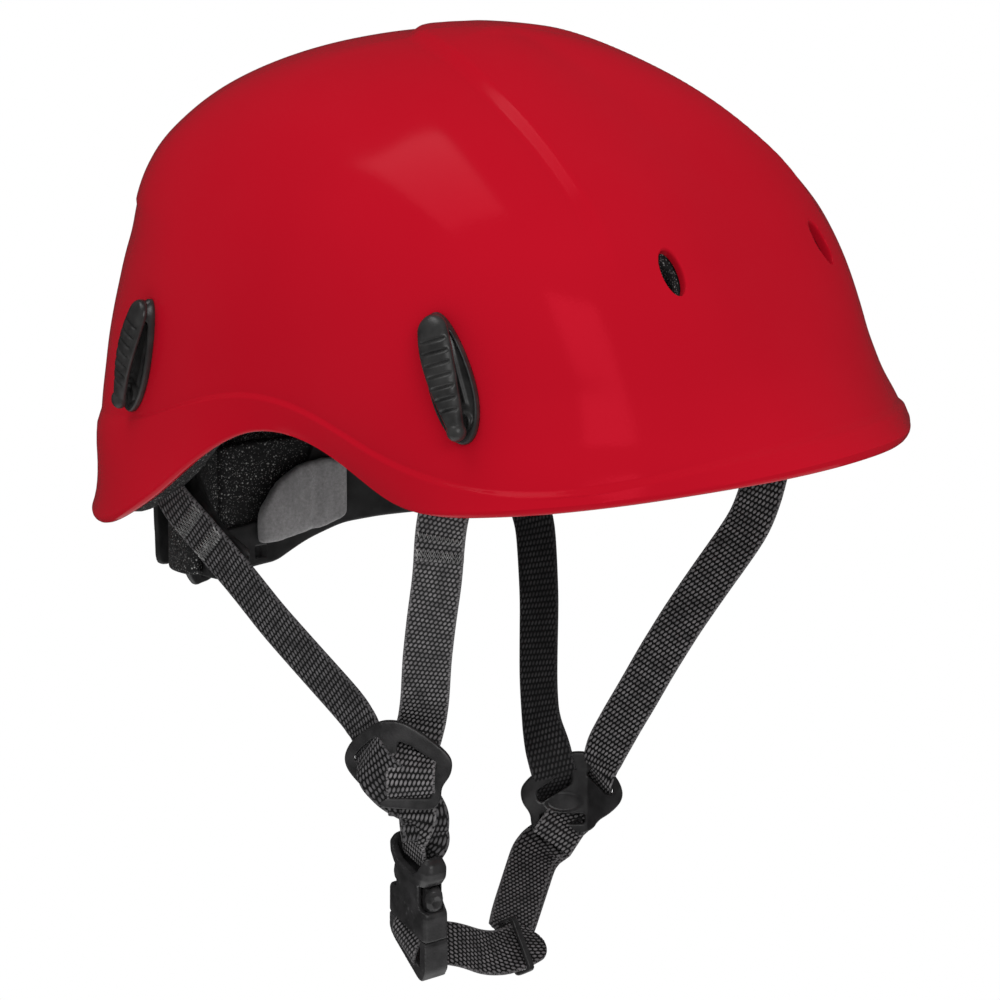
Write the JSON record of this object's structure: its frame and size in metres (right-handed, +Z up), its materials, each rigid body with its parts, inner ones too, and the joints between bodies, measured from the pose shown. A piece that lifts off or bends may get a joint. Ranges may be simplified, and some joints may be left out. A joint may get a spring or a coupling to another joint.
{
  "type": "climbing helmet",
  "caption": "Climbing helmet: glossy hard shell over a foam liner, nape cradle, sprung lamp clips, and Y-shaped webbing harness with dividers and a side-release chin buckle.",
  "frame": {"origin": "under the crown's top, at the level of the shell's front rim", "axes": "+X towards the front, +Y to the wearer's left, +Z up"},
  "size_m": [0.3048, 0.2082, 0.322],
  "materials": {
    "red_abs": "glossy moulded ABS",
    "black_foam": "moulded foam with a pale speckle",
    "grey_felt": "brushed felt",
    "black_plastic": "matt moulded plastic",
    "clip_plastic": "matt moulded plastic",
    "buckle_plastic": "satin acetal",
    "black_webbing": "woven polyester webbing with pale dashes"
  },
  "bodies": {
    "helmet": {"brow_pad": "grey_felt", "buckle_socket": "buckle_plastic", "chin_strap_upper": "black_webbing", "clip_base_front_left": "clip_plastic", "clip_base_front_right": "clip_plastic", "clip_base_rear_left": "clip_plastic", "clip_base_rear_right": "clip_plastic", "crown_pad": "grey_felt", "divider_left": "buckle_plastic", "divider_right": "buckle_plastic", "foam_liner": "black_foam", "headband": "black_plastic", "shell": "red_abs", "strap_anchor_front_left": "black_plastic", "strap_anchor_front_right": "black_plastic", "strap_anchor_rear_left": "black_plastic", "strap_anchor_rear_right": "black_plastic", "strap_doubled_right": "black_webbing", "strap_front_left": "black_webbing", "strap_front_right": "black_webbing", "strap_rear_left": "black_webbing", "strap_rear_right": "black_webbing"},
    "clip_front_right": {"clip_tongue_front_right": "clip_plastic"},
    "clip_front_left": {"clip_tongue_front_left": "clip_plastic"},
    "clip_rear_right": {"clip_tongue_rear_right": "clip_plastic"},
    "clip_rear_left": {"clip_tongue_rear_left": "clip_plastic"},
    "cradle": {"nape_cradle": "black_plastic", "nape_foam_right": "black_foam", "nape_foam_left": "black_foam", "nape_pad_right": "grey_felt", "nape_pad_left": "grey_felt", "adjuster_plate": "black_plastic"},
    "knob": {"adjuster_knob": "black_plastic"},
    "plug": {"buckle_plug": "buckle_plastic", "chin_strap_lower": "black_webbing", "strap_keeper": "buckle_plastic", "strap_tail": "black_webbing"},
    "prong_front": {"prong_front": "buckle_plastic"},
    "prong_rear": {"prong_rear": "buckle_plastic"}
  },
  "joints": [
    {"name": "clip_hinge_front_right", "type": "hinge", "parent": "helmet", "child": "clip_front_right", "pos_m": [0.05184, -0.09824, 0.05077], "axis": [-0.9088, -0.2633, -0.3238], "range_deg": [0, 15], "stiffness_Nm_per_rad": 0.4},
    {"name": "clip_hinge_front_left", "type": "hinge", "parent": "helmet", "child": "clip_front_left", "pos_m": [0.05184, 0.09824, 0.05077], "axis": [0.9088, -0.2633, 0.3238], "range_deg": [0, 15], "stiffness_Nm_per_rad": 0.4},
    {"name": "clip_hinge_rear_right", "type": "hinge", "parent": "helmet", "child": "clip_rear_right", "pos_m": [-0.08015, -0.08589, 0.03663], "axis": [-0.8664, 0.379, 0.3251], "range_deg": [0, 15], "stiffness_Nm_per_rad": 0.4},
    {"name": "clip_hinge_rear_left", "type": "hinge", "parent": "helmet", "child": "clip_rear_left", "pos_m": [-0.08015, 0.08589, 0.03663], "axis": [0.8664, 0.379, -0.3251], "range_deg": [0, 15], "stiffness_Nm_per_rad": 0.4},
    {"name": "cradle_slide", "type": "slide", "parent": "helmet", "child": "cradle", "axis": [1, 0, 0], "range_m": [-0.006, 0.008]},
    {"name": "knob_turn", "type": "hinge", "parent": "cradle", "child": "knob", "pos_m": [-0.132, 0, -0.06], "axis": [-1, 0, 0], "range_deg": [-62, 82]},
    {"name": "plug_slide", "type": "slide", "parent": "helmet", "child": "plug", "axis": [-0.1457, 0.1809, -0.9727], "range_m": [0, 0.026], "deforming": ["prong_front", "prong_rear"]},
    {"name": "prong_squeeze_front", "type": "hinge", "parent": "plug", "child": "prong_front", "pos_m": [0.00065, -0.04533, -0.16909], "axis": [0.3932, 0.9128, 0.1108], "range_deg": [0, 8], "stiffness_Nm_per_rad": 0.3},
    {"name": "prong_squeeze_rear", "type": "hinge", "parent": "plug", "child": "prong_rear", "pos_m": [0.01118, -0.04958, -0.17146], "axis": [-0.3932, -0.9128, -0.1108], "range_deg": [0, 8], "stiffness_Nm_per_rad": 0.3}
  ],
  "couplings": [
    {"joint": "knob_turn", "follows": "cradle_slide", "rad_per_m": 170},
    {"joint": "prong_squeeze_rear", "follows": "prong_squeeze_front", "ratio": 1}
  ]
}
